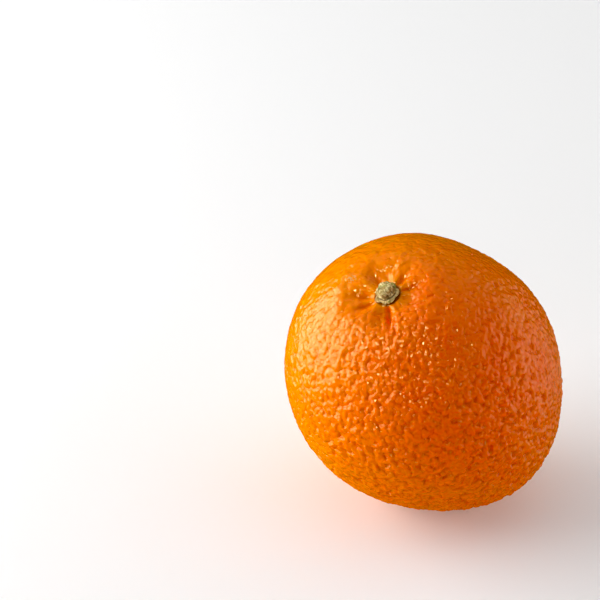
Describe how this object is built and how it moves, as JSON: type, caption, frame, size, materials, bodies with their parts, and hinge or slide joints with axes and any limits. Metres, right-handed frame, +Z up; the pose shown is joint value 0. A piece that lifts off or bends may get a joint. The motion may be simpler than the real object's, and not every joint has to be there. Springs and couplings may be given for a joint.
{
  "type": "navel orange",
  "caption": "Whole round orange fruit with a pebbled peel, a small dry stem button and a small flat spot to rest on.",
  "frame": {"origin": "on the resting surface, under the middle of the fruit's box", "axes": "+Z up; -Y is the front, from which the fruit is usually seen; the stem end leans 24 degrees from upright, to the left (-X) and forward (-Y)"},
  "size_m": [0.0794, 0.0778, 0.0781],
  "materials": {
    "peel": "waxy, pebbled, semi-gloss orange peel",
    "calyx": "dry, matt, olive to tan",
    "stem": "dry, matt, fibrous, tan to olive"
  },
  "bodies": {
    "root": {"fruit": "peel", "calyx": "calyx", "stem_stub": "stem"}
  },
  "joints": []
}
